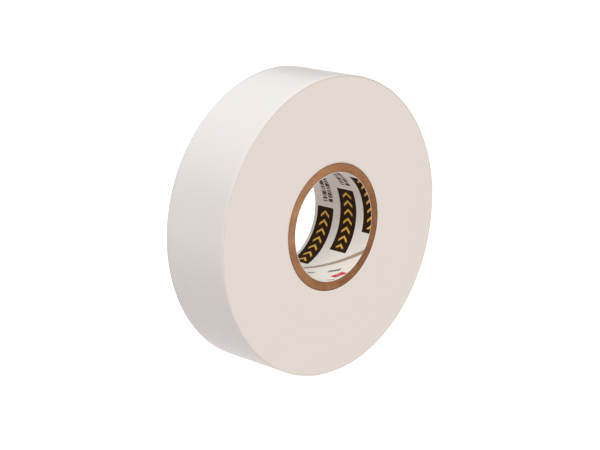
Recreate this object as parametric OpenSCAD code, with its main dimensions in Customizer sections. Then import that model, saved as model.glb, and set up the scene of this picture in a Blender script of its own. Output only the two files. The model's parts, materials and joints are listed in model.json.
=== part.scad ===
// Roll of electrical tape: a spiral-wound paper core with a printed liner, the wound pack of
// tape, and the last wrap, whose free end lifts off the roll in short film segments.
// Frame: origin at the middle of the bore, Y along the bore, Z up. The roll stands on its rim.

/* [Tape] */
// Width of the tape, and so of the whole roll
tape_w = 19.05; // [10:0.05:50]
// Thickness of the tape as wound, backing and adhesive together
tape_t = 0.17; // [0.12:0.005:0.5]
// Length of tape on the roll, in metres
tape_length = 20.117; // [3:0.001:40]

/* [Paper core] */
// Bore of the core, inside the liner
bore_d = 26.4; // [20:0.1:80]
// Thickness of the printed liner paper
liner_t = 0.15; // [0.1:0.01:0.4]
// Thickness of one kraft ply
ply_t = 0.54; // [0.3:0.01:1]
// Glue line between one layer of the core and the next, and under the first turn of tape
glue_t = 0.01; // [0.005:0.005:0.05]

/* [Spiral seams] */
// Distance the plies advance along the core in one turn
ply_pitch = 102; // [80:1:200]
// Gap left between the edges of the liner, square to the seam
liner_gap = 1.05; // [0.2:0.05:2]
// Gap left between the edges of a kraft ply, square to the seam
ply_gap = 0.25; // [0.1:0.05:1]
// Angle of the liner seam at mid width, from +X towards +Z
liner_seam = -72; // [-180:1:180]
// Turn from the seam of one ply to the seam of the next one out
seam_stagger = 103; // [20:1:160]

/* [Free end] */
// Angle at which the tape is cut off, from +X towards +Z
end_angle = 4; // [-20:1:20]
// Angle of roll taken by each film segment of the free end
segment_angle = 10; // [6:0.5:12]

/* [Hidden] */
$fn = 240;

MM_PER_M = 1000;
segment_count = 6;
ply_count = 4;

// The core grows outwards from the bore: liner, then the kraft plies, then the tape.
bore_r = bore_d / 2;
kraft_r = bore_r + liner_t + glue_t;
ply_step = ply_t + glue_t;
core_r = kraft_r + ply_count * ply_step;

// The roll's radius follows from the length of tape that has to fit round the core.
roll_r = sqrt(core_r * core_r + tape_length * MM_PER_M * tape_t / PI);

// A turn of tape climbs by its own thickness: half a turn about the bore's axis, then half a
// turn about a line half a thickness to one side, which starts and ends square to the first.
pack_r = roll_r - 1.5 * tape_t;
climb = tape_t / 2;
half_turn = 180;
end_sweep = segment_count * segment_angle;

seam_turn = 360 / ply_pitch;
seam_step = 3;
seam_run = 1;
seam_reach = 0.2;

LINER_WHITE = [0.90, 0.88, 0.86];
KRAFT = [0.62, 0.43, 0.29];
TAPE_WHITE = [0.90, 0.86, 0.82];

// Stands the roll up: modelled about Z, used about Y.
module upright() {
  rotate([90, 0, 0])
    children();
}

// Degrees of core covered at radius r by a gap this wide, measured square to a seam.
function gap_angle(r, gap) =
  let (lead = atan(ply_pitch / (2 * PI * r)))
  gap / sin(lead) / (2 * PI * r) * 360;

// The seam's cutter: a thin sector that turns as it runs along the core.
module seam_cut(r_in, r_out, gap, at_angle) {
  half = gap_angle((r_in + r_out) / 2, gap) / 2;
  near = r_in - seam_reach;
  far = r_out + seam_reach;
  run = tape_w + 2 * seam_run;
  turn = run * seam_turn;
  rotate([0, 0, at_angle - turn / 2])
    translate([0, 0, -run / 2])
      linear_extrude(height = run, twist = -turn, slices = ceil(turn / seam_step), segments = 4)
        polygon([
          [near * cos(half), -near * sin(half)],
          [far * cos(half), -far * sin(half)],
          [far * cos(half), far * sin(half)],
          [near * cos(half), near * sin(half)],
        ]);
}

// One strip of paper wound into a tube, its two edges almost meeting along the seam.
module paper_ply(r_in, thickness, gap, at_angle) {
  r_out = r_in + thickness;
  difference() {
    cylinder(r = r_out, h = tape_w, center = true);
    cylinder(r = r_in, h = tape_w + 2 * seam_run, center = true);
    seam_cut(r_in, r_out, gap, at_angle);
  }
}

module kraft_ply(i) {
  color(KRAFT)
    upright()
      paper_ply(kraft_r + (i - 1) * ply_step, ply_t, ply_gap, liner_seam + i * seam_stagger);
}

// Places the spiral so that its turn 0 to 360 runs clockwise and stops at end_angle.
module wound() {
  upright()
    rotate([0, 0, end_angle])
      mirror([0, 1, 0])
        children();
}

// A stretch of one layer of tape with its inner face at radius r, from one angle to another.
module film(r, from, to) {
  rotate([0, 0, from])
    rotate_extrude(angle = to - from)
      translate([r, -tape_w / 2])
        square([tape_t, tape_w]);
}

// A stretch of the second half turn, where the layer has climbed.
module film_late(from, to) {
  translate([climb, 0, 0])
    film(pack_r + climb, from, to);
}

module half_disc(r) {
  rotate_extrude(angle = half_turn)
    translate([0, -tape_w / 2])
      square([r, tape_w]);
}

module end_segment(i) {
  start = 2 * half_turn - end_sweep + (i - 1) * segment_angle;
  color(TAPE_WHITE)
    wound()
      film_late(start, start + segment_angle);
}

module core_liner() {
  color(LINER_WHITE)
    upright()
      paper_ply(bore_r, liner_t, liner_gap, liner_seam);
}

module core_ply_1() {
  kraft_ply(1);
}

module core_ply_2() {
  kraft_ply(2);
}

module core_ply_3() {
  kraft_ply(3);
}

module core_ply_4() {
  kraft_ply(4);
}

// Every turn of tape under the last one.
module tape_pack() {
  color(TAPE_WHITE)
    wound()
      difference() {
        union() {
          half_disc(pack_r);
          translate([climb, 0, 0])
            rotate([0, 0, half_turn])
              half_disc(pack_r + climb);
        }
        cylinder(r = core_r, h = tape_w + 2 * seam_run, center = true);
      }
}

// The last turn, as far as the line where the free end starts to lift.
module tape_wrap() {
  color(TAPE_WHITE)
    wound() {
      film(pack_r, 0, half_turn);
      film_late(half_turn, 2 * half_turn - end_sweep);
    }
}

module tape_end_1() {
  end_segment(1);
}

module tape_end_2() {
  end_segment(2);
}

module tape_end_3() {
  end_segment(3);
}

module tape_end_4() {
  end_segment(4);
}

module tape_end_5() {
  end_segment(5);
}

module tape_end_6() {
  end_segment(6);
}

core_liner();
core_ply_1();
core_ply_2();
core_ply_3();
core_ply_4();
tape_pack();
tape_wrap();
tape_end_1();
tape_end_2();
tape_end_3();
tape_end_4();
tape_end_5();
tape_end_6();
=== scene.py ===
"""A roll of white vinyl electrical tape on a spiral-wound paper core, its end ready to peel."""

import json
import math

import bmesh
import bpy
from mathutils import Matrix, Vector, noise


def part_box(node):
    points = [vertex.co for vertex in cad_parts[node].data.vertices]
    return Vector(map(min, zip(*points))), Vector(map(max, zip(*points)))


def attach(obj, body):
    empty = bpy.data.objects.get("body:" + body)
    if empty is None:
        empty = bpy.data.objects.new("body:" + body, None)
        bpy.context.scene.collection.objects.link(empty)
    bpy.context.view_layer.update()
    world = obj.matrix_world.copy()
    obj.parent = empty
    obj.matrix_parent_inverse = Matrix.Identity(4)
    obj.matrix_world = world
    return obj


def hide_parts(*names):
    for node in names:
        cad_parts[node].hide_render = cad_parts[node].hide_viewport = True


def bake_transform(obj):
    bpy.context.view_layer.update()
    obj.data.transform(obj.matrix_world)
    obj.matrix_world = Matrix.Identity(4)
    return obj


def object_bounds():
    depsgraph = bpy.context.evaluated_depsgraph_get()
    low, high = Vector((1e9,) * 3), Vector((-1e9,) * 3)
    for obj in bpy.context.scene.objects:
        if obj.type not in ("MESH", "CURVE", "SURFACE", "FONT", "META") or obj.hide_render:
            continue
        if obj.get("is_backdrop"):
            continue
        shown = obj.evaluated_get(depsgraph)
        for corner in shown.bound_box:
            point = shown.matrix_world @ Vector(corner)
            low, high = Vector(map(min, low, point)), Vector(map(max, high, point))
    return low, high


bl_info = {
    "name": "Electrical Tape Roll",
    "version": (1, 0, 0),
    "blender": (4, 5, 0),
    "location": "3D View > Sidebar > Tape Roll",
    "description": "Builds a roll of electrical tape, its paper core and a plain studio round it",
    "category": "Add Mesh",
}

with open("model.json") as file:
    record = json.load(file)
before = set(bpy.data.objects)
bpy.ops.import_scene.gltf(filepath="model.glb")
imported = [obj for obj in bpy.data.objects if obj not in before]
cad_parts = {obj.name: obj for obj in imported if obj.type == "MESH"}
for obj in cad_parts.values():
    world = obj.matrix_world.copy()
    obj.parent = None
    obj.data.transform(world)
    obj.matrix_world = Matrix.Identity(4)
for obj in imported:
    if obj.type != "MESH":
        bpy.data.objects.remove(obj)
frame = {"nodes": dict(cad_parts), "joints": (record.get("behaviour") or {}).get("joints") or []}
CAD_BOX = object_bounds()

MM = 0.001
PLY_COUNT = 4
HALF_TURN = math.pi
FULL_TURN = 2 * math.pi
DEGREE = math.pi / 180


def polar(point):
    """Distance from the bore's axis, and angle from +X towards +Z."""
    return math.hypot(point[0], point[2]), math.atan2(point[2], point[0])


def outward(angle):
    """Direction away from the bore's axis at this angle from +X towards +Z."""
    return Vector((math.cos(angle), 0, math.sin(angle)))


def node_radii(name):
    """Smallest and largest distance of a node's surface from the bore's axis."""
    radii = [polar(v.co)[0] for v in frame["nodes"][name].data.vertices]
    return min(radii), max(radii)


def tone(red, green, blue):
    """A colour given in screen values from 0 to 255, as scene-linear red, green and blue."""
    screen = [c / 255 for c in (red, green, blue)]
    return tuple(c / 12.92 if c <= 0.04045 else ((c + 0.055) / 1.055) ** 2.4 for c in screen)


HALF_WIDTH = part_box("tape_pack")[1].y
BORE_R, LINER_R = node_radii("core_liner")
CORE_R = node_radii("core_ply_4")[1]
TAPE_INNER_R, TURN_TOP_R = node_radii("tape_pack")
PACK_R = node_radii("tape_wrap")[0]
FILM = TURN_TOP_R - PACK_R
CUT_ANGLE = min(polar(v.co)[1] for v in frame["nodes"]["tape_end_6"].data.vertices)
HINGES = [Vector(j["pos_m"]) for j in frame["joints"]]

# The upper half of each turn runs round this line, half a film's thickness off the bore's axis.
CLIMB = outward(CUT_ANGLE) * (FILM / 2)

# How far the ends of the core, the wound tape and the loose film stay inside the roll's width.
CORE_INSET = 0.012 * MM
PACK_INSET = 0.004 * MM
FILM_INSET = 0.002 * MM

# Steps round the roll, and the distances within which two points, or a point and a face, are one.
TAPE_STEP = math.radians(1.25)
CORE_STEP = math.radians(1.5)
WELD = 1e-7
TOUCH = 1e-6

# Edges sharper than CREASE stay crisp. A face that looks in or out by less than SIDEWAYS is an end.
CREASE = math.radians(38)
SIDEWAYS = 0.7


# ------------------------------------------------------------------ settings


class TAPEROLL_PG_core(bpy.types.PropertyGroup):
    """Sizes and colours of the paper core."""

    seam_lead: bpy.props.FloatProperty(
        name="Seam Lead",
        description="How far a ply's seam runs along the core in one full turn",
        default=102 * MM, min=0.02, unit="LENGTH", subtype="DISTANCE")
    liner_seam: bpy.props.FloatProperty(
        name="Liner Seam",
        description="Angle of the liner's seam at mid width, from +X towards +Z",
        default=math.radians(-72), subtype="ANGLE")
    seam_stagger: bpy.props.FloatProperty(
        name="Seam Stagger",
        description="Turn from the seam of one ply to the seam of the next one out",
        default=math.radians(103), subtype="ANGLE")
    liner_gap: bpy.props.FloatProperty(
        name="Liner Gap",
        description="Bare board left between the liner's two edges, square to the seam",
        default=1.05 * MM, min=0.0, unit="LENGTH", subtype="DISTANCE")
    ply_gap: bpy.props.FloatProperty(
        name="Ply Gap",
        description="Gap at the butt joint of each board ply, square to the seam",
        default=0.1 * MM, min=0.0, unit="LENGTH", subtype="DISTANCE")
    # Painted light: the board of the cut end is painted palest on this side, as if lit from it, and
    # darker as painted shade on the far side.
    painted_light_side: bpy.props.FloatProperty(
        name="Light Side", description="Side of the core's cut end where the board is palest",
        default=math.radians(146), subtype="ANGLE")
    cut_depth: bpy.props.FloatProperty(
        name="Cut Roughness",
        description="How deep the saw-cut ends of the board are torn",
        default=0.035 * MM, min=0.0, unit="LENGTH", subtype="DISTANCE")
    # The two board colours hold painted light: the paler one is the board as lit, the darker one is
    # the board in painted shade.
    board: bpy.props.FloatVectorProperty(
        name="Board", description="Colour of the cut kraft board on its palest side",
        default=tone(189, 140, 98), size=3, min=0.0, max=1.0, subtype="COLOR")
    board_painted_shade: bpy.props.FloatVectorProperty(
        name="Board Shade", description="Colour of the cut kraft board on its darkest side",
        default=tone(153, 102, 63), size=3, min=0.0, max=1.0, subtype="COLOR")
    board_fibre: bpy.props.FloatVectorProperty(
        name="Board Fibre", description="Colour of the darker fibres in the board",
        default=tone(116, 72, 41), size=3, min=0.0, max=1.0, subtype="COLOR")
    board_face: bpy.props.FloatVectorProperty(
        name="Board Face", description="Colour of the flat side of the board",
        default=tone(184, 158, 138), size=3, min=0.0, max=1.0, subtype="COLOR")
    paper: bpy.props.FloatVectorProperty(
        name="Liner Paper", description="Colour of the bare liner paper",
        default=tone(231, 226, 219), size=3, min=0.0, max=1.0, subtype="COLOR")
    dark_ink: bpy.props.FloatVectorProperty(
        name="Dark Ink", description="Colour of the printed panels and dashes",
        default=tone(42, 24, 4), size=3, min=0.0, max=1.0, subtype="COLOR")
    amber_ink: bpy.props.FloatVectorProperty(
        name="Amber Ink", description="Colour of the unwinding arrows in the panels",
        default=tone(226, 176, 70), size=3, min=0.0, max=1.0, subtype="COLOR")
    red_ink: bpy.props.FloatVectorProperty(
        name="Red Ink", description="Colour of the small ink test patch",
        default=tone(196, 44, 58), size=3, min=0.0, max=1.0, subtype="COLOR")


class TAPEROLL_PG_tape(bpy.types.PropertyGroup):
    """Sizes and colours of the wound tape."""

    rings: bpy.props.IntProperty(
        name="Rings", description="Steps across the slit face, from the core to the rim",
        default=84, min=8, max=160)
    ring_depth: bpy.props.FloatProperty(
        name="Ring Depth", description="How far some turns stand back from the slit face",
        default=0.012 * MM, min=0.0, unit="LENGTH", subtype="DISTANCE")
    core_groove: bpy.props.FloatProperty(
        name="Core Groove", description="Depth of the groove where the first turn meets the core",
        default=0.12 * MM, min=0.0, unit="LENGTH", subtype="DISTANCE")
    edge_round: bpy.props.FloatProperty(
        name="Edge Round", description="Rounding of the film's slit edges",
        default=0.04 * MM, min=0.0, unit="LENGTH", subtype="DISTANCE")
    fold: bpy.props.FloatProperty(
        name="Fold", description="Length of film that bends where the free end leaves the roll",
        default=1.5 * MM, min=0.0, unit="LENGTH", subtype="DISTANCE")
    tip_lift: bpy.props.FloatProperty(
        name="Tip Lift", description="How far the cut end of the tape stands off the roll",
        default=0.06 * MM, min=0.0, unit="LENGTH", subtype="DISTANCE")
    tip_curl: bpy.props.FloatProperty(
        name="Tip Curl", description="Length of film over which the cut end lifts",
        default=1.8 * MM, min=0.1 * MM, unit="LENGTH", subtype="DISTANCE")
    slack: bpy.props.FloatProperty(
        name="Slack", description="Clear space left between one layer of film and the next",
        default=0.02 * MM, min=0.0, unit="LENGTH", subtype="DISTANCE")
    slit_edge: bpy.props.FloatVectorProperty(
        name="Slit Edge", description="Colour of the stacked slit edges",
        default=tone(225, 217, 208), size=3, min=0.0, max=1.0, subtype="COLOR")
    film: bpy.props.FloatVectorProperty(
        name="Film", description="Colour of the film's outer face",
        default=tone(228, 224, 221), size=3, min=0.0, max=1.0, subtype="COLOR")
    adhesive: bpy.props.FloatVectorProperty(
        name="Adhesive", description="Colour of the adhesive side",
        default=tone(224, 218, 206), size=3, min=0.0, max=1.0, subtype="COLOR")


class TAPEROLL_PG_studio(bpy.types.PropertyGroup):
    """Camera, floor and light."""

    azimuth: bpy.props.FloatProperty(
        name="Azimuth", description="Camera's direction round the roll, from the near face",
        default=math.radians(-45.691), subtype="ANGLE")
    elevation: bpy.props.FloatProperty(
        name="Elevation", description="Camera's height as an angle above the floor",
        default=math.radians(14.980), subtype="ANGLE")
    distance: bpy.props.FloatProperty(
        name="Distance", description="From the camera to the point it looks at",
        default=397.4 * MM, min=0.05, unit="LENGTH", subtype="DISTANCE")
    aim_across: bpy.props.FloatProperty(
        name="Aim Across", description="How far right of the bore's middle the camera looks",
        default=-1.372 * MM, unit="LENGTH", subtype="DISTANCE")
    aim_up: bpy.props.FloatProperty(
        name="Aim Up", description="How far above the bore's middle the camera looks",
        default=-1.234 * MM, unit="LENGTH", subtype="DISTANCE")
    lens: bpy.props.FloatProperty(
        name="Lens", description="Focal length of the camera in millimetres",
        default=98.30, min=10.0)
    floor_size: bpy.props.FloatProperty(
        name="Floor Size", description="Side of the square floor",
        default=6.0, min=1.0, unit="LENGTH", subtype="DISTANCE")
    floor_gap: bpy.props.FloatProperty(
        name="Floor Gap", description="Clear space between the roll and the floor",
        default=0.01 * MM, min=0.0, unit="LENGTH", subtype="DISTANCE")
    sky: bpy.props.FloatProperty(
        name="Sky", description="Strength of the soft light from all round",
        default=1.02, min=0.0)
    floor: bpy.props.FloatVectorProperty(
        name="Floor", description="Colour of the floor",
        default=(0.97, 0.97, 0.97), size=3, min=0.0, max=1.0, subtype="COLOR")


# ------------------------------------------------------------------ shader maths


class Field:
    """A number that changes over a surface. Arithmetic on it adds Math nodes."""

    def __init__(self, bench, socket):
        self.bench = bench
        self.socket = socket

    def math(self, operation, *values):
        node = self.bench.add("ShaderNodeMath", {"operation": operation}, dict(enumerate(values)))
        return Field(self.bench, node.outputs[0])

    def __add__(self, other):
        return self.math("ADD", self, other)

    def __sub__(self, other):
        return self.math("SUBTRACT", self, other)

    def __rsub__(self, other):
        return self.math("SUBTRACT", other, self)

    def __mul__(self, other):
        return self.math("MULTIPLY", self, other)

    def __truediv__(self, other):
        return self.math("DIVIDE", self, other)

    def __lt__(self, other):
        return self.math("LESS_THAN", self, other)

    def __gt__(self, other):
        return self.math("GREATER_THAN", self, other)

    def __mod__(self, other):
        return self.math("FLOORED_MODULO", self, other)

    def __abs__(self):
        return self.math("ABSOLUTE", self)

    __radd__ = __add__
    __rmul__ = __mul__

    def rounded(self):
        return self.math("ROUND", self)

    def least(self, other):
        return self.math("MINIMUM", self, other)

    def most(self, other):
        return self.math("MAXIMUM", self, other)

    def clamped(self):
        return self.most(0.0).least(1.0)

    def ramp(self, zero_at, one_at):
        """0 at one value and 1 at the other, smoothly between them."""
        node = self.bench.add(
            "ShaderNodeMapRange", {"interpolation_type": "SMOOTHSTEP"},
            {0: self, 1: zero_at, 2: one_at, 3: 0.0, 4: 1.0})
        return Field(self.bench, node.outputs[0])

    def band(self, centre, half, soft):
        """1 within half of centre, falling to 0 over soft at each side."""
        return abs(self - centre).ramp(half + soft / 2, half - soft / 2)

    def nearest(self, first, pitch):
        """The nearest place in a row that starts at first and goes on at this pitch."""
        return ((self - first) / pitch).rounded() * pitch + first

    def wrapped(self):
        """The same angle, from half a turn back to half a turn on."""
        return (self + HALF_TURN) % FULL_TURN - HALF_TURN


class Bench:
    """A node tree being put together, from an empty one."""

    def __init__(self, tree):
        self.tree = tree
        self.tree.nodes.clear()

    def add(self, kind, settings=None, inputs=None):
        """Adds a node of a kind: its settings first, then the values or links of its sockets."""
        node = self.tree.nodes.new(kind)
        for key, value in (settings or {}).items():
            if key == "stops":
                self.set_stops(node.color_ramp, value)
            else:
                setattr(node, key, value)
        for key, value in (inputs or {}).items():
            self.set(node.inputs[key], value)
        return node

    def set(self, socket, value):
        if isinstance(value, Field):
            value = value.socket
        if isinstance(value, bpy.types.NodeSocket):
            self.tree.links.new(value, socket)
        elif socket.type == "RGBA":
            socket.default_value = (*value[:3], 1.0)
        else:
            socket.default_value = value

    def set_stops(self, ramp, stops):
        while len(ramp.elements) < len(stops):
            ramp.elements.new(0.5)
        for element, (position, colour) in zip(ramp.elements, stops):
            element.position = position
            element.color = (*colour, 1.0)

    def axes(self, vector):
        """The three numbers of a vector."""
        node = self.add("ShaderNodeSeparateXYZ", inputs={0: vector})
        return [Field(self, socket) for socket in node.outputs]


class Finish(Bench):
    """One material: its node tree, and the shader that everything feeds."""

    def __init__(self, name):
        self.material = bpy.data.materials.new(name)
        self.material.use_nodes = True
        super().__init__(self.material.node_tree)
        self.shader = self.add("ShaderNodeBsdfPrincipled")
        self.add("ShaderNodeOutputMaterial", inputs={"Surface": self.shader.outputs[0]})
        self.point = self.add("ShaderNodeTexCoord").outputs["Object"]
        self.x, self.y, self.z = self.axes(self.point)

    def radius(self):
        return self.x.math("SQRT", self.x * self.x + self.z * self.z)

    def angle(self):
        return self.x.math("ARCTAN2", self.z, self.x)

    def stretched(self, along_x, along_y, along_z):
        """The surface point in units of these lengths, for a grain that is longer one way."""
        scale = (1 / along_x, 1 / along_y, 1 / along_z)
        node = self.add(
            "ShaderNodeVectorMath", {"operation": "MULTIPLY"}, {0: self.point, 1: scale})
        return node.outputs[0]

    def join(self, x, y, z):
        return self.add("ShaderNodeCombineXYZ", inputs={0: x, 1: y, 2: z}).outputs[0]

    def grain(self, vector, detail=2.0, rough=0.5, scale=1.0):
        """Noise about 0, from -1 to 1."""
        node = self.add(
            "ShaderNodeTexNoise", {"noise_dimensions": "3D"},
            {"Vector": vector, "Scale": scale, "Detail": detail, "Roughness": rough})
        return Field(self, node.outputs[0]) * 2.0 - 1.0

    def lines(self, value, size, detail=2.0):
        """Noise about 0 that changes along one number only, as turns or plies do."""
        node = self.add(
            "ShaderNodeTexNoise", {"noise_dimensions": "1D"},
            {"W": value / size, "Scale": 1.0, "Detail": detail})
        return Field(self, node.outputs[0]) * 2.0 - 1.0

    def blend(self, factor, first, second):
        """Goes from the first colour to the second as factor goes from 0 to 1."""
        node = self.add("ShaderNodeMix", {"data_type": "RGBA"}, {0: factor, 6: first, 7: second})
        return node.outputs[2]

    def coat_with(self, colour, roughness, height, lift, **fixed):
        """Feeds the shader: colour, roughness, a height that the bump lifts, and fixed values."""
        bump = self.add(
            "ShaderNodeBump", inputs={"Strength": 1.0, "Distance": lift, "Height": height})
        self.set(self.shader.inputs["Base Color"], colour)
        self.set(self.shader.inputs["Roughness"], roughness)
        self.set(self.shader.inputs["Normal"], bump.outputs[0])
        for key, value in fixed.items():
            self.set(self.shader.inputs[key.replace("_", " ")], value)
        return self.material


def shade(colour, share):
    """The same colour, lighter or darker by a share."""
    return tuple(min(1.0, c * share) for c in colour)


# ------------------------------------------------------------------ finishes


def slit_vinyl(tape):
    """The stacked slit edges of the turns: matte, warm, with faint rings."""
    f = Finish("slit_vinyl_edges")
    r = f.radius()
    turns = f.lines(r, 0.21 * MM, 1.0)
    batches = f.lines(r, 1.9 * MM, 2.0)
    cloud = f.grain(f.point, 3.0, 0.5, 1 / (9 * MM))
    speck = f.grain(f.point, 2.0, 0.6, 1 / (0.5 * MM))
    tint = (turns * 0.18 + batches * 0.22 + cloud * 0.3 + speck * 0.12 + 0.5).clamped()
    colour = f.blend(tint, shade(tape.slit_edge, 0.975), shade(tape.slit_edge, 1.02))
    rough = 0.62 + turns * 0.05 + cloud * 0.03
    height = turns * 0.6 + batches * 0.25 + speck * 0.2
    return f.coat_with(colour, rough, height, 0.004 * MM, Specular_IOR_Level=0.35)


def film_face(tape):
    """The outer face of the vinyl film: smooth, half gloss, drawn out along its length."""
    f = Finish("vinyl_film_face")
    drawn = f.grain(f.stretched(9 * MM, 0.45 * MM, 9 * MM), 3.0, 0.55)
    wide = f.grain(f.stretched(30 * MM, 5 * MM, 30 * MM), 2.0, 0.5)
    peel = f.grain(f.point, 2.0, 0.5, 1 / (0.7 * MM))
    tint = (drawn * 0.2 + wide * 0.3 + peel * 0.1 + 0.5).clamped()
    colour = f.blend(tint, shade(tape.film, 0.97), shade(tape.film, 1.02))
    rough = 0.21 + drawn * 0.02 + wide * 0.03
    height = drawn * 0.3 + peel * 0.3 + wide * 0.5
    return f.coat_with(
        colour, rough, height, 0.005 * MM,
        Specular_IOR_Level=0.4, Coat_Weight=0.06, Coat_Roughness=0.12)


def adhesive_coat(tape):
    """The adhesive side: a little yellow, tacky, with fine streaks from the coater."""
    f = Finish("adhesive_coat")
    streak = f.grain(f.stretched(12 * MM, 0.3 * MM, 12 * MM), 3.0, 0.6)
    pull = f.grain(f.point, 3.0, 0.65, 1 / (0.9 * MM))
    tint = (streak * 0.4 + pull * 0.35 + 0.5).clamped()
    colour = f.blend(tint, shade(tape.adhesive, 0.93), shade(tape.adhesive, 1.03))
    rough = 0.42 + pull * 0.12 + streak * 0.06
    height = streak * 0.5 + pull * 0.8
    return f.coat_with(colour, rough, height, 0.012 * MM, Specular_IOR_Level=0.5)


def kraft_fibres(f, vector):
    """The board's long fibres, its short flecks, and both with its clouds, 0 dark to 1 light."""
    fibre = f.grain(vector, 4.0, 0.62)
    fleck = f.grain(f.point, 3.0, 0.7, 1 / (0.55 * MM))
    cloud = f.grain(f.point, 3.0, 0.5, 1 / (4 * MM))
    return fibre, fleck, (fibre * 0.55 + fleck * 0.4 + cloud * 0.45 + 0.62).clamped()


def board_cut(core):
    """The cut end of the board: torn fibres, darker glue lines, painted light making one side paler
    and painted shade making the other darker, and painted shade along its edges.
    """
    f = Finish("kraft_board_cut_end")
    r, angle = f.radius(), f.angle()
    lie = f.join(angle * (LINER_R / (1.6 * MM)), r / (0.16 * MM), f.y / MM)
    fibre, fleck, light = kraft_fibres(f, lie)
    ply = (CORE_R - LINER_R) / PLY_COUNT
    from_glue = abs((r - LINER_R + ply / 2) % ply - ply / 2)
    glue = from_glue.ramp(0.09 * MM, 0.02 * MM)
    # Painted shade: the cut end is darker along its outer edge beside the tape and along its inner
    # edge beside the liner.
    outer_gap_shade = (CORE_R - r).ramp(0.30 * MM, 0.08 * MM)
    rim = outer_gap_shade.most((r - LINER_R).ramp(0.20 * MM, 0.04 * MM))
    # Painted light and shade: the board and its fibres are painted paler and greyer towards one
    # side and darker towards the other.
    towards_painted_light = f.x * math.cos(core.painted_light_side) + f.z * math.sin(core.painted_light_side)
    painted_light_share = towards_painted_light / r * 0.5 + 0.5
    fibres = f.blend(painted_light_share, shade(core.board_fibre, 0.75), shade(core.board_fibre, 1.3))
    colour = f.blend(light, fibres, f.blend(painted_light_share, core.board_painted_shade, core.board))
    colour = f.blend(glue * 0.22, colour, shade(core.board_fibre, 0.8))
    colour = f.blend(rim * 0.7, colour, shade(core.board_fibre, 0.72))
    rough = 0.86 + fleck * 0.06
    height = fibre * 0.6 + fleck * 0.7 - glue * 0.6
    return f.coat_with(colour, rough, height, 0.03 * MM, Specular_IOR_Level=0.2)


def board_wall(core):
    """The flat side of a board ply, with the fibres lying along the strip."""
    f = Finish("kraft_board_side")
    run = f.angle() * BORE_R + f.y * 0.25
    lie = f.join(run / (2.4 * MM), f.y / (0.22 * MM), f.radius() / MM)
    fibre, fleck, light = kraft_fibres(f, lie)
    colour = f.blend(light, shade(core.board_face, 0.72), core.board_face)
    rough = 0.84 + fleck * 0.06
    height = fibre * 0.6 + fleck * 0.5
    return f.coat_with(colour, rough, height, 0.025 * MM, Specular_IOR_Level=0.2)


def liner_edge(core):
    """The cut edge of the liner paper, with its fibres showing."""
    f = Finish("liner_paper_edge")
    fleck = f.grain(f.point, 3.0, 0.7, 1 / (0.3 * MM))
    tint = (fleck * 0.6 + 0.5).clamped()
    colour = f.blend(tint, shade(core.paper, 0.74), shade(core.paper, 0.95))
    return f.coat_with(colour, 0.85 + fleck * 0.05, fleck, 0.02 * MM, Specular_IOR_Level=0.25)


def liner_print(f, core):
    """The liner's dark panels, small dark marks, amber arrows and red patch, each from 0 to 1.

    Lengths are in millimetres, along the core and round the bore.
    """
    mm_of_arc = BORE_R / MM
    turn_per_mm = FULL_TURN / core.seam_lead * MM
    y = f.y / MM
    angle = f.angle()

    def seam_at(along_core):
        return core.liner_seam - along_core * turn_per_mm

    # Panels repeat along the strip in two columns, each one a pitch along the core and a little
    # further round.
    first_panel, pitch = 5.83, 7.72
    panel_turn = 56 * DEGREE
    column, columns, lead_in = 144 * DEGREE, 2, 52 * DEGREE
    panel_y = y.nearest(first_panel, pitch)
    past_seam = (angle - seam_at(panel_y) - panel_turn + lead_in) % FULL_TURN
    along = (past_seam % column - lead_in) * mm_of_arc
    up = y - panel_y
    in_columns = past_seam < column * columns
    panel = along.band(0.0, 8.30, 0.05) * up.band(0.0, 2.675, 0.05) * in_columns

    # A row of arrowheads in each panel points the way the tape unwinds.
    arrow_pitch, arrow_lean = 2.25, 0.85
    lean = (along + abs(up) * arrow_lean + arrow_pitch * 0.35) % arrow_pitch
    stroke = lean.band(arrow_pitch / 2, 0.34, 0.14)
    arrows = panel * stroke * up.band(0.0, 1.38, 0.1) * along.band(0.0, 7.3, 0.1)

    # Two rows of dashes stand where small print would be.
    dash_length, dash_share = 0.40, -0.16

    def dashes(row_y, shift):
        cells = f.lines(along + shift, dash_length, 0.0) > dash_share
        row = (up - row_y).band(0.0, 0.72, 0.2) * along.band(15.2, 5.4, 0.1)
        return cells * row * in_columns

    small = dashes(-0.05, 3.1).most(dashes(-1.88, 47.7))

    # Plain marks stand in groups beside the seam.
    group_pitch, tick_pitch = 9.32, 0.63
    beside = (angle - seam_at(y)).wrapped() * mm_of_arc
    along_seam = (y + 7.5) % group_pitch
    groups = along_seam.band(1.74, 1.25, 0.1).most(along_seam.band(6.40, 0.65, 0.1))
    ticks = (y % tick_pitch).band(tick_pitch / 2, 0.24, 0.1)
    marks = beside.band(-4.45, 0.55, 0.12) * groups * ticks

    # A small red patch and a thin dark line slant beside it, once in each pitch.
    first_patch, patch_ahead = -8.15, 33.2 * DEGREE
    patch_y = y.nearest(first_patch, pitch)
    patch_turn = (angle - seam_at(patch_y) + patch_ahead).wrapped() * mm_of_arc
    patch_up = y - patch_y
    patch_gaps = (patch_turn % 1.62).band(0.81, 0.76, 0.08)
    patch_slant = patch_up + patch_turn * 0.40
    patch = patch_turn.band(0.0, 1.62, 0.1) * patch_slant.band(0.0, 0.84, 0.1) * patch_gaps
    line_turn = patch_turn + 3.45
    line_slant = patch_up + 0.64 + line_turn * 0.54
    line = line_turn.band(0.0, 0.85, 0.1) * line_slant.band(0.0, 0.22, 0.1)
    return panel, small.most(marks).most(line), arrows, patch


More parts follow.
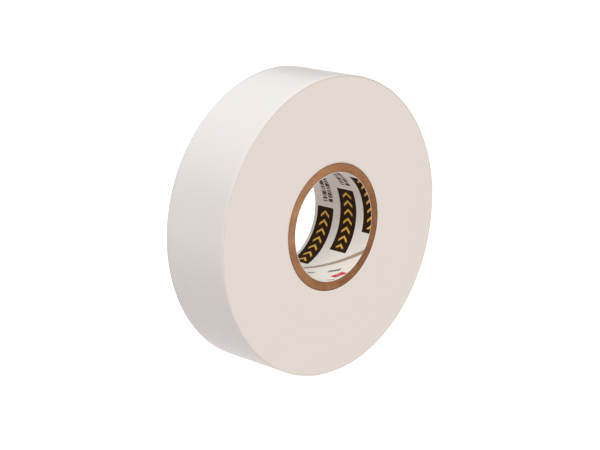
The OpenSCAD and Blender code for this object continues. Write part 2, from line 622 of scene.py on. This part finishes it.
def printed_liner(core):
    """The liner's face: white paper with plain panels, arrows, dashes and an ink patch."""
    f = Finish("printed_liner_face")
    panel, marks, arrows, patch = liner_print(f, core)
    lie = f.join(f.angle() * (BORE_R / (1.4 * MM)), f.y / (0.35 * MM), f.radius() / MM)
    fibre = f.grain(lie, 4.0, 0.6)
    cloud = f.grain(f.point, 3.0, 0.5, 1 / (3 * MM))
    wear = f.grain(f.point, 4.0, 0.7, 1 / (0.35 * MM))
    tint = (fibre * 0.35 + cloud * 0.35 + 0.5).clamped()
    sheet = f.blend(tint, shade(core.paper, 0.95), shade(core.paper, 1.02))
    held = (wear * 0.25 + 1.06).clamped()
    colour = f.blend(panel * held, sheet, core.dark_ink)
    colour = f.blend(arrows, colour, core.amber_ink)
    colour = f.blend(marks * 0.92, colour, core.dark_ink)
    colour = f.blend(patch * 0.95, colour, core.red_ink)
    rough = 0.66 + fibre * 0.04
    height = fibre * 0.5 + cloud * 0.3 + wear * 0.15
    return f.coat_with(colour, rough, height, 0.008 * MM, Specular_IOR_Level=0.12)


def studio_floor(studio):
    """Seamless paper: plain, with a trace of tooth."""
    f = Finish("studio_paper")
    tooth = f.grain(f.point, 2.0, 0.5, 1 / (2 * MM))
    colour = f.blend(tooth * 0.5 + 0.5, shade(studio.floor, 0.995), shade(studio.floor, 1.0))
    return f.coat_with(
        colour, 0.9 + tooth * 0.02, tooth, 0.002 * MM,
        Specular_IOR_Level=0.1, Emission_Color=(1.0, 1.0, 1.0), Emission_Strength=0.5)


# ------------------------------------------------------------------ mesh work


def wall_grid(bm, inner, outer, half_width, across, along):
    """A flat grid through one wall of the roll, on the +X side."""
    verts = bmesh.ops.create_grid(bm, x_segments=across, y_segments=along, size=0.5)["verts"]
    bmesh.ops.scale(bm, vec=Vector((outer - inner, 2 * half_width, 1)), verts=verts)
    bmesh.ops.translate(bm, vec=Vector(((inner + outer) / 2, 0, 0)), verts=verts)
    return verts


def wall_cut(bm, inner, outer, half_width, across, along, round_over):
    """The cut through one wall of the roll, its corners rounded over."""
    verts = wall_grid(bm, inner, outer, half_width, across, along)
    corners = [v for v in verts if len(v.link_faces) == 1]
    bmesh.ops.bevel(
        bm, geom=corners, offset=round_over, affect="VERTICES",
        segments=3, profile=0.5, material=-1)


def everything(bm):
    return bm.verts[:] + bm.edges[:] + bm.faces[:]


def turn_by(bm, verts, angle):
    """Turns points round the bore's axis, from +X towards +Z."""
    bmesh.ops.rotate(bm, verts=verts, cent=(0, 0, 0), matrix=Matrix.Rotation(-angle, 3, "Y"))


def wind(bm, geometry, angle, step, centre=(0, 0, 0), closed=False):
    """Carries a cut round the roll the way the tape is wound, and returns its last place."""
    steps = max(1, round(angle / step))
    return bmesh.ops.spin(
        bm, geom=geometry, cent=centre, axis=(0, 1, 0), angle=angle, steps=steps,
        use_merge=closed, use_duplicate=False)["geom_last"]


def face_kind(face):
    """0 for a face that looks outwards, 1 for an end or cut edge, 2 for one that looks inwards."""
    middle = face.calc_center_median()
    away = Vector((middle.x, 0, middle.z)).normalized()
    facing = face.normal.dot(away)
    if abs(facing) < SIDEWAYS:
        return 1
    return 0 if facing > 0 else 2


def make_piece(bm, name, materials, nodes, body=None):
    """Closes up a mesh, gives its faces their finishes and puts it on its body."""
    bmesh.ops.remove_doubles(bm, verts=bm.verts[:], dist=WELD)
    bmesh.ops.recalc_face_normals(bm, faces=bm.faces[:])
    bm.normal_update()
    for face in bm.faces:
        face.smooth = True
        face.material_index = face_kind(face)
    for edge in bm.edges:
        edge.smooth = len(edge.link_faces) == 2 and edge.calc_face_angle(0.0) < CREASE
    mesh = bpy.data.meshes.new(name)
    bm.to_mesh(mesh)
    bm.free()
    for material in materials:
        mesh.materials.append(material)
    piece = bpy.data.objects.new(name, mesh)
    bpy.context.scene.collection.objects.link(piece)
    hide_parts(*nodes)
    if body:
        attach(piece, body)
    return piece


def seam_angle(core, start, y):
    """Where a ply's seam stands at this place along the core."""
    return start - y * FULL_TURN / core.seam_lead


def gap_angle(core, radius, gap):
    """Angle of core taken by a gap, measured square to its seam."""
    slope = math.atan2(core.seam_lead, FULL_TURN * radius)
    return gap / math.sin(slope) / radius


def paper_strip(core, inner, outer, seam, gap, across, along, round_over, tear):
    """One strip wound into a tube, its edges nearly meeting at a slanting seam, its ends sawn."""
    bm = bmesh.new()
    half_width = HALF_WIDTH - CORE_INSET
    wall_cut(bm, inner, outer, half_width, across, along, round_over)
    opening = gap_angle(core, (inner + outer) / 2, gap)
    for v in bm.verts:
        turn_by(bm, [v], seam_angle(core, seam, v.co.y) - opening / 2)
    wind(bm, everything(bm), FULL_TURN - opening, CORE_STEP)

    # The ends are torn in patches round the core and in layers from the bore out.
    for v in bm.verts:
        if abs(v.co.y) > half_width - 1.5 * round_over:
            radius, angle = polar(v.co)
            place = Vector((math.cos(angle) * 9, math.sin(angle) * 9, radius / (0.3 * MM)))
            torn = 0.5 + 0.5 * noise.noise(place * 2.3 + Vector((0, 0, v.co.y * 900)))
            v.co.y -= math.copysign(tear * torn, v.co.y)
    return bm


# ------------------------------------------------------------------ operators


class TAPEROLL_OT_liner(bpy.types.Operator):
    """Build the printed liner paper inside the core"""

    bl_idname = "taperoll.liner"
    bl_label = "Liner Paper"

    def execute(self, context):
        core = context.scene.taperoll_core
        bm = paper_strip(
            core, BORE_R, LINER_R, core.liner_seam, core.liner_gap,
            across=3, along=30, round_over=0.03 * MM, tear=0.02 * MM)
        edge = liner_edge(core)
        finishes = [edge, edge, printed_liner(core)]
        make_piece(bm, "liner_paper", finishes, ["core_liner"], "roll")
        return {"FINISHED"}


class TAPEROLL_OT_plies(bpy.types.Operator):
    """Build the kraft board plies of the core"""

    bl_idname = "taperoll.plies"
    bl_label = "Board Plies"

    def execute(self, context):
        core = context.scene.taperoll_core
        side, cut = board_wall(core), board_cut(core)
        for ply in range(1, PLY_COUNT + 1):
            node = f"core_ply_{ply}"
            inner, outer = node_radii(node)
            seam = core.liner_seam + ply * core.seam_stagger
            bm = paper_strip(
                core, inner, outer, seam, core.ply_gap,
                across=5, along=24, round_over=0.05 * MM, tear=core.cut_depth)
            make_piece(bm, f"board_ply_{ply}", [side, cut, side], [node], "roll")
        return {"FINISHED"}


def tape_finishes(tape):
    """The film's three finishes, made once and shared by every stretch of it."""
    names = ("vinyl_film_face", "slit_vinyl_edges", "adhesive_coat")
    makers = (film_face, slit_vinyl, adhesive_coat)
    return [bpy.data.materials.get(n) or make(tape) for n, make in zip(names, makers)]


class TAPEROLL_OT_wound_tape(bpy.types.Operator):
    """Build the wound tape under its last turns"""

    bl_idname = "taperoll.wound_tape"
    bl_label = "Wound Tape"

    # Across the slit face: how soon turns differ, how slowly they drift, and the groove's width.
    UNEVEN_TURNS = 0.8 * MM
    DRIFT_LENGTH = 6 * MM
    GROOVE_WIDTH = 0.35 * MM

    def execute(self, context):
        tape = context.scene.taperoll_tape
        bm = bmesh.new()
        half_width = HALF_WIDTH - PACK_INSET
        wall_grid(bm, TAPE_INNER_R, PACK_R, half_width, tape.rings, 4)
        inside = [v for v in bm.verts if not v.is_boundary]
        bmesh.ops.delete(bm, geom=inside, context="VERTS")
        wind(bm, everything(bm), FULL_TURN, TAPE_STEP, closed=True)

        for v in bm.verts:
            radius, angle = polar(v.co)
            if abs(v.co.y) > half_width - TOUCH:
                v.co.y -= math.copysign(self.set_back(tape, radius, angle, v.co.y), v.co.y)
            if radius > PACK_R - TOUCH:
                outer = self.outer_radius(angle) - tape.slack
                v.co.x, v.co.z = outer * math.cos(angle), outer * math.sin(angle)
        make_piece(bm, "wound_tape", tape_finishes(tape), ["tape_pack"], "roll")
        return {"FINISHED"}

    def set_back(self, tape, radius, angle, side):
        """How far the slit face stands back here: uneven turns, and a groove beside the core."""
        ring_place = Vector((radius / self.UNEVEN_TURNS, math.copysign(7.3, side), 0))
        drift_place = Vector((
            math.cos(angle) * 1.3, math.sin(angle) * 1.3, radius / self.DRIFT_LENGTH + side))
        ring = 0.5 + 0.5 * noise.noise(ring_place)
        drift = noise.noise(drift_place)
        near_core = max(0.0, 1 - (radius - TAPE_INNER_R) / self.GROOVE_WIDTH)
        return tape.ring_depth * (ring + 0.5 + 0.5 * drift) + tape.core_groove * near_core ** 2

    def outer_radius(self, angle):
        """Radius under the last turns, which lie a film lower over the upper half of the roll."""
        from_cut = (angle - CUT_ANGLE) % FULL_TURN
        if from_cut < HALF_TURN:
            return PACK_R - FILM / 2 + FILM / 2 * math.cos(from_cut)
        return PACK_R


def film_cut(bm, tape, inner, start):
    """The cut through one layer of film, its inner face this far from the line it winds round."""
    wall_cut(
        bm, inner + tape.slack / 2, inner + FILM - tape.slack / 2, HALF_WIDTH - FILM_INSET,
        across=3, along=14, round_over=tape.edge_round)
    turn_by(bm, bm.verts[:], start)


class TAPEROLL_OT_last_turn(bpy.types.Operator):
    """Build the last turns of tape, as far as the line where the end starts to peel"""

    bl_idname = "taperoll.last_turn"
    bl_label = "Last Turn"

    def execute(self, context):
        tape = context.scene.taperoll_tape
        peel = math.atan2(HINGES[0].z - CLIMB.z, HINGES[0].x - CLIMB.x)
        bm = bmesh.new()
        film_cut(bm, tape, PACK_R - FILM / 2, CUT_ANGLE + HALF_TURN)
        bmesh.ops.translate(bm, vec=CLIMB, verts=bm.verts[:])
        under = wind(bm, everything(bm), HALF_TURN, TAPE_STEP, CLIMB)
        below = wind(bm, under, HALF_TURN, TAPE_STEP)
        wind(bm, below, CUT_ANGLE + HALF_TURN - peel, TAPE_STEP, CLIMB)
        make_piece(bm, "last_turn", tape_finishes(tape), ["tape_wrap"], "roll")
        return {"FINISHED"}


class TAPEROLL_OT_free_end(bpy.types.Operator):
    """Build the free end of the tape, one stretch of film for each segment and a lifted tip"""

    bl_idname = "taperoll.free_end"
    bl_label = "Free End"

    # Share of half a segment by which the points at each stretch's ends are moved into the next
    # stretch.
    REACH = 0.15

    # Steps round the roll: in the first stretch, in the later stretches and in the tip.
    FOLD_STEP = math.radians(0.1)
    BEND_STEP = math.radians(0.5)
    TIP_STEP = math.radians(0.25)

    # How far short of the tape's cut the tip stops.
    TIP_CLEAR = math.radians(0.02)

    def execute(self, context):
        tape = context.scene.taperoll_tape
        hinge_angles = [math.atan2(h.z - CLIMB.z, h.x - CLIMB.x) for h in HINGES]
        half_segment = (hinge_angles[0] - hinge_angles[1]) / 2
        starts = [hinge_angles[0]] + [a + half_segment for a in hinge_angles[1:]]
        stops = [a - half_segment for a in hinge_angles]
        fold_stop = hinge_angles[0] - tape.fold / PACK_R
        bodies = ["roll"] + [f"end_{k}" for k in range(1, len(HINGES) + 1)]
        last = len(HINGES) - 1
        for k, (start, stop) in enumerate(zip(starts, stops)):
            piece = self.stretch(tape, k + 1, start, stop, self.BEND_STEP if k else self.FOLD_STEP)

            # Points on the film's face a little past each stretch's ends are worked out here;
            # nothing reads them.
            bend_start = start + (self.REACH * half_segment if k > 1 else 0)
            bend_stop = stop - (self.REACH * half_segment if k < last else 0)
            bodies[k + 1]
            self.on_face(bend_start)
            self.on_face(bend_stop if k else fold_stop)
            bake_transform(piece)
        cut = CUT_ANGLE + self.TIP_CLEAR
        tip = self.stretch(tape, len(HINGES) + 1, stops[-1], cut, self.TIP_STEP, tape.tip_lift)
        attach(tip, bodies[-1])
        return {"FINISHED"}

    def on_face(self, angle):
        """A point on the film's outer face, at mid width."""
        return CLIMB + outward(angle) * (PACK_R + FILM * 1.5)

    def stretch(self, tape, number, start, stop, step, lift=0.0):
        """One stretch of the free end, the edge at its stop lifted off the roll by this much."""
        bm = bmesh.new()
        film_cut(bm, tape, PACK_R + FILM / 2, start)
        bmesh.ops.translate(bm, vec=CLIMB, verts=bm.verts[:])
        wind(bm, everything(bm), start - stop, step, CLIMB)
        if lift:
            for v in bm.verts:
                radius, angle = polar(v.co - CLIMB)
                nearness = max(0.0, 1 - (angle - stop) * radius / tape.tip_curl)
                v.co += outward(angle) * (lift * nearness ** 2)
        node = f"tape_end_{min(number, len(HINGES))}"
        return make_piece(bm, f"free_end_{number}", tape_finishes(tape), [node])


# Name, place, width across, power in watts, colour.
SOFTBOXES = (
    ("key_softbox", (-0.82, -1.58, 2.07), 2.40, 55.0, (1.0, 1.0, 1.0)),
    ("fill_softbox", (0.20, 2.50, 0.60), 2.00, 13.0, (1.0, 0.99, 0.97)),
)

# Light of the room by height, from -1 straight down to 1 straight up.
SKY = (
    (-1.00, (0.74, 0.74, 0.74)),
    (-0.40, (0.96, 0.88, 0.88)),
    (-0.05, (0.95, 0.88, 0.88)),
    (0.05, (0.38, 0.38, 0.38)),
    (0.25, (0.15, 0.15, 0.15)),
    (0.45, (0.50, 0.50, 0.50)),
    (0.75, (0.66, 0.66, 0.66)),
    (1.00, (1.00, 1.00, 1.00)),
)


class TAPEROLL_OT_studio(bpy.types.Operator):
    """Lay the floor, hang the lights and set the camera"""

    bl_idname = "taperoll.studio"
    bl_label = "Studio"

    def execute(self, context):
        studio = context.scene.taperoll_studio
        self.lay_floor(context.scene, studio)
        self.light_room(context.scene, studio)
        for name, place, size, power, colour in SOFTBOXES:
            self.hang_light(context.scene, name, place, size, power, colour)
        self.set_camera(context.scene, studio)
        context.scene.view_settings.view_transform = "Standard"
        context.scene.view_settings.look = "None"
        return {"FINISHED"}

    def lay_floor(self, scene, studio):
        bm = bmesh.new()
        bmesh.ops.create_grid(bm, x_segments=8, y_segments=8, size=studio.floor_size / 2)
        lowest = min(CAD_BOX[0].z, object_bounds()[0].z)
        bmesh.ops.translate(bm, vec=Vector((0, 0, lowest - studio.floor_gap)), verts=bm.verts[:])
        mesh = bpy.data.meshes.new("floor")
        bm.to_mesh(mesh)
        bm.free()
        mesh.materials.append(studio_floor(studio))
        floor = bpy.data.objects.new("floor", mesh)
        scene.collection.objects.link(floor)
        floor.visible_diffuse = False
        floor.visible_glossy = False
        floor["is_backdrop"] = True

    def light_room(self, scene, studio):
        """Light by height, dimmest just over the horizon for the walls, and a white backdrop."""
        world = bpy.data.worlds.new("studio_sky")
        world.use_nodes = True
        bench = Bench(world.node_tree)
        height = bench.axes(bench.add("ShaderNodeTexCoord").outputs["Generated"])[2]
        stops = [((share + 1) / 2, colour) for share, colour in SKY]
        ramp = bench.add("ShaderNodeValToRGB", {"stops": stops}, {0: height * 0.5 + 0.5})
        light = bench.add("ShaderNodeBackground", inputs={0: ramp.outputs[0], 1: studio.sky})
        backdrop = bench.add("ShaderNodeBackground", inputs={0: (1.0, 1.0, 1.0), 1: 1.0})
        seen = bench.add("ShaderNodeLightPath").outputs["Is Camera Ray"]
        both = bench.add(
            "ShaderNodeMixShader", inputs={0: seen, 1: light.outputs[0], 2: backdrop.outputs[0]})
        bench.add("ShaderNodeOutputWorld", inputs={"Surface": both.outputs[0]})
        scene.world = world

    def hang_light(self, scene, name, place, size, power, colour):
        light = bpy.data.lights.new(name, "AREA")
        light.shape = "DISK"
        light.size = size
        light.energy = power
        light.color = colour
        lamp = bpy.data.objects.new(name, light)
        scene.collection.objects.link(lamp)
        lamp.visible_camera = False
        lamp.location = place
        lamp.rotation_euler = Vector(place).to_track_quat("Z", "Y").to_euler()

    def set_camera(self, scene, studio):
        az, el = studio.azimuth, studio.elevation
        back = Vector((math.sin(az) * math.cos(el), -math.cos(az) * math.cos(el), math.sin(el)))
        right = Vector((math.cos(az), math.sin(az), 0))
        aim = right * studio.aim_across + Vector((0, 0, studio.aim_up))
        data = bpy.data.cameras.new("camera")
        data.lens = studio.lens
        data.sensor_width = 36.0
        data.clip_start = 0.01
        camera = bpy.data.objects.new("camera", data)
        scene.collection.objects.link(camera)
        camera.location = aim + back * studio.distance
        camera.rotation_euler = back.to_track_quat("Z", "Y").to_euler()
        scene.camera = camera


class VIEW3D_PT_taperoll(bpy.types.Panel):
    """Lists the roll's parts and their sizes"""

    bl_label = "Tape Roll"
    bl_space_type = "VIEW_3D"
    bl_region_type = "UI"
    bl_category = "Tape Roll"

    def draw(self, context):
        for title, name, operators in PANEL_ROWS:
            settings = getattr(context.scene, name)
            box = self.layout.box()
            box.label(text=title)
            for key in settings.__annotations__:
                box.prop(settings, key)
            for operator in operators:
                box.operator(operator.bl_idname)


PANEL_ROWS = (
    ("Core", "taperoll_core", (TAPEROLL_OT_liner, TAPEROLL_OT_plies)),
    ("Tape", "taperoll_tape", (
        TAPEROLL_OT_wound_tape, TAPEROLL_OT_last_turn, TAPEROLL_OT_free_end)),
    ("Studio", "taperoll_studio", (TAPEROLL_OT_studio,)),
)
SETTINGS = {
    "taperoll_core": TAPEROLL_PG_core,
    "taperoll_tape": TAPEROLL_PG_tape,
    "taperoll_studio": TAPEROLL_PG_studio,
}
OPERATORS = tuple(operator for row in PANEL_ROWS for operator in row[2])
CLASSES = (*SETTINGS.values(), *OPERATORS, VIEW3D_PT_taperoll)


def register():
    for cls in CLASSES:
        bpy.utils.register_class(cls)
    for name, cls in SETTINGS.items():
        setattr(bpy.types.Scene, name, bpy.props.PointerProperty(type=cls))


def unregister():
    for name in SETTINGS:
        delattr(bpy.types.Scene, name)
    for cls in reversed(CLASSES):
        bpy.utils.unregister_class(cls)


def main():
    register()
    bpy.ops.taperoll.liner()
    bpy.ops.taperoll.plies()
    bpy.ops.taperoll.wound_tape()
    bpy.ops.taperoll.last_turn()
    bpy.ops.taperoll.free_end()
    bpy.ops.taperoll.studio()


if __name__ == "__main__":
    main()
